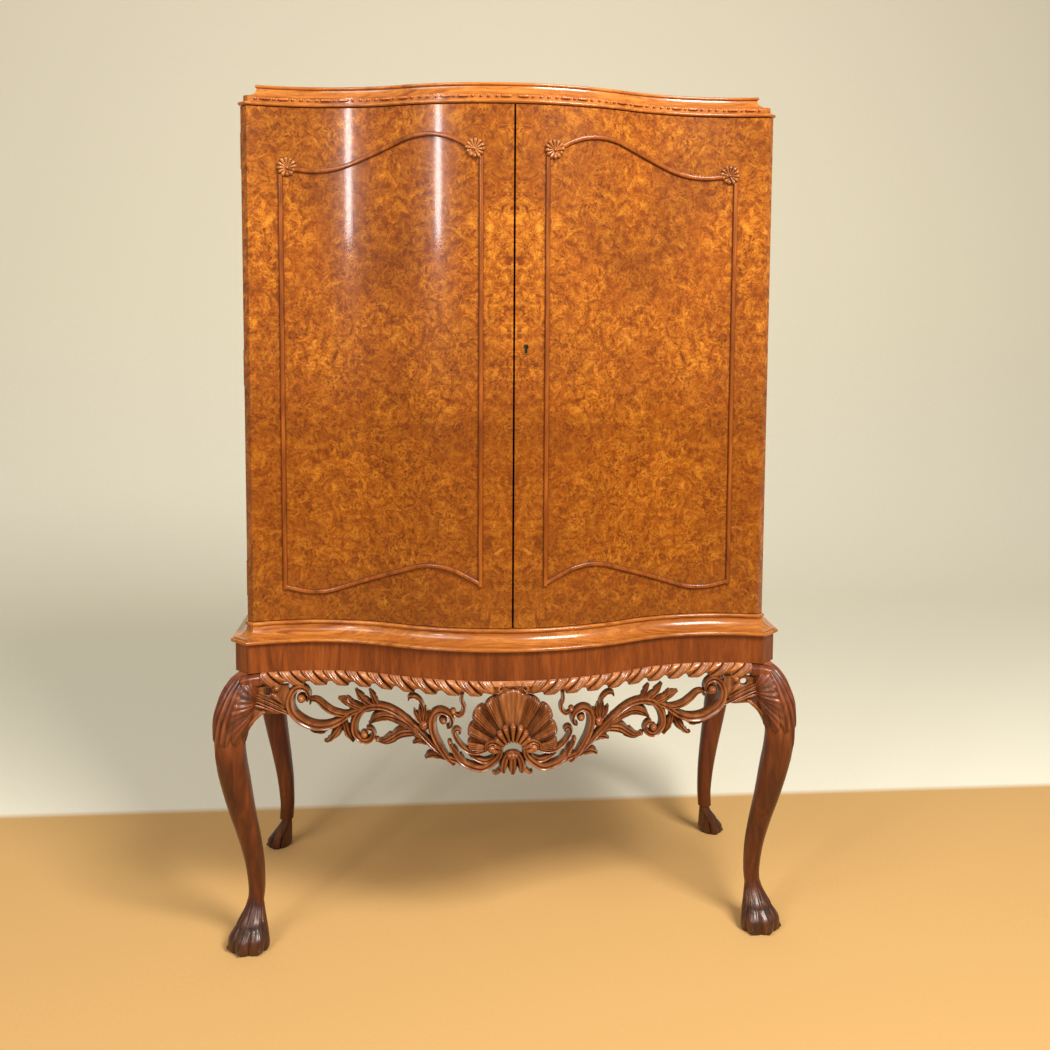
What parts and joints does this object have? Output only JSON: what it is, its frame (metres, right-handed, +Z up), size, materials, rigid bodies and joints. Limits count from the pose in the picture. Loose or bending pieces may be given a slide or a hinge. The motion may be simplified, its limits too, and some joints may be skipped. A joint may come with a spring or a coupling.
{
  "type": "drinks cabinet",
  "caption": "Serpentine-fronted walnut drinks cabinet with hinged doors, lock, shelves and mirrored back, on a carved stand with cabriole legs and paw feet.",
  "frame": {"origin": "on the floor under the middle of the cabinet's bounding box", "axes": "+Z up, +X to the right of someone facing the doors, front faces -Y"},
  "size_m": [1.0752, 0.53, 1.566],
  "materials": {
    "burr_walnut": "burr veneer, high-gloss polish",
    "walnut": "straight grain, polished",
    "carved_walnut": "carved, polished",
    "inner_wood": "plain, waxed",
    "brass": "aged, satin",
    "steel": "dull",
    "glass": "clear, polished edge",
    "mirror": "silvered"
  },
  "bodies": {
    "cabinet": {"carcase_side_left": "walnut", "carcase_side_right": "walnut", "waist_moulding_front": "walnut", "waist_moulding_left": "walnut", "waist_moulding_right": "walnut", "cornice_front": "walnut", "cornice_left": "walnut", "cornice_right": "walnut", "top_board": "walnut", "frieze_rail_front": "walnut", "frieze_rail_left": "walnut", "frieze_rail_right": "walnut", "frieze_rail_rear": "walnut", "shelf_wood": "walnut", "leg_front_left": "carved_walnut", "leg_front_right": "carved_walnut", "leg_rear_left": "carved_walnut", "leg_rear_right": "carved_walnut", "gadroon_edge": "carved_walnut", "apron_shell": "carved_walnut", "apron_scroll_left": "carved_walnut", "apron_scroll_right": "carved_walnut", "knee_bracket_left": "carved_walnut", "knee_bracket_right": "carved_walnut", "side_knee_brackets": "carved_walnut", "carcase_floor": "inner_wood", "carcase_top": "inner_wood", "back_panel": "inner_wood", "stand_top": "inner_wood", "cornice_core": "inner_wood", "glue_blocks": "inner_wood", "hinge_leaves_carcase_left": "brass", "hinge_leaves_carcase_right": "brass", "hinge_pins_left": "brass", "hinge_pins_right": "brass", "hinge_screws_carcase": "brass", "bolt_keepers": "brass", "shelf_pegs": "brass", "carcase_screws": "steel", "glue_block_screws": "steel", "shelf_glass": "glass", "mirror_back": "mirror"},
    "door_left": {"door_left": "burr_walnut", "door_beading_left": "carved_walnut", "door_rosettes_left": "carved_walnut", "hinge_leaves_door_left": "brass", "hinge_screws_door_left": "brass", "strike_plate": "brass", "slide_bolt_guides": "brass"},
    "door_right": {"door_right": "burr_walnut", "door_beading_right": "carved_walnut", "door_rosettes_right": "carved_walnut", "hinge_leaves_door_right": "brass", "hinge_screws_door_right": "brass", "escutcheon": "brass", "lock_case": "steel"},
    "lock_bolt": {"lock_bolt": "brass"},
    "slide_bolt_top": {"slide_bolt_top": "brass"},
    "slide_bolt_bottom": {"slide_bolt_bottom": "brass"}
  },
  "joints": [
    {"name": "door_right_hinge", "type": "hinge", "parent": "cabinet", "child": "door_right", "pos_m": [0.478, -0.134, 1.0655], "axis": [0, 0, 1], "range_deg": [0, 110]},
    {"name": "door_left_hinge", "type": "hinge", "parent": "cabinet", "child": "door_left", "pos_m": [-0.478, -0.134, 1.0655], "axis": [0, 0, -1], "range_deg": [0, 110]},
    {"name": "lock_bolt_slide", "type": "slide", "parent": "door_right", "child": "lock_bolt", "axis": [-1, 0, 0], "range_m": [0, 0.008]},
    {"name": "slide_bolt_top_slide", "type": "slide", "parent": "door_left", "child": "slide_bolt_top", "axis": [0, 0, 1], "range_m": [0, 0.012]},
    {"name": "slide_bolt_bottom_slide", "type": "slide", "parent": "door_left", "child": "slide_bolt_bottom", "axis": [0, 0, -1], "range_m": [0, 0.012]}
  ]
}
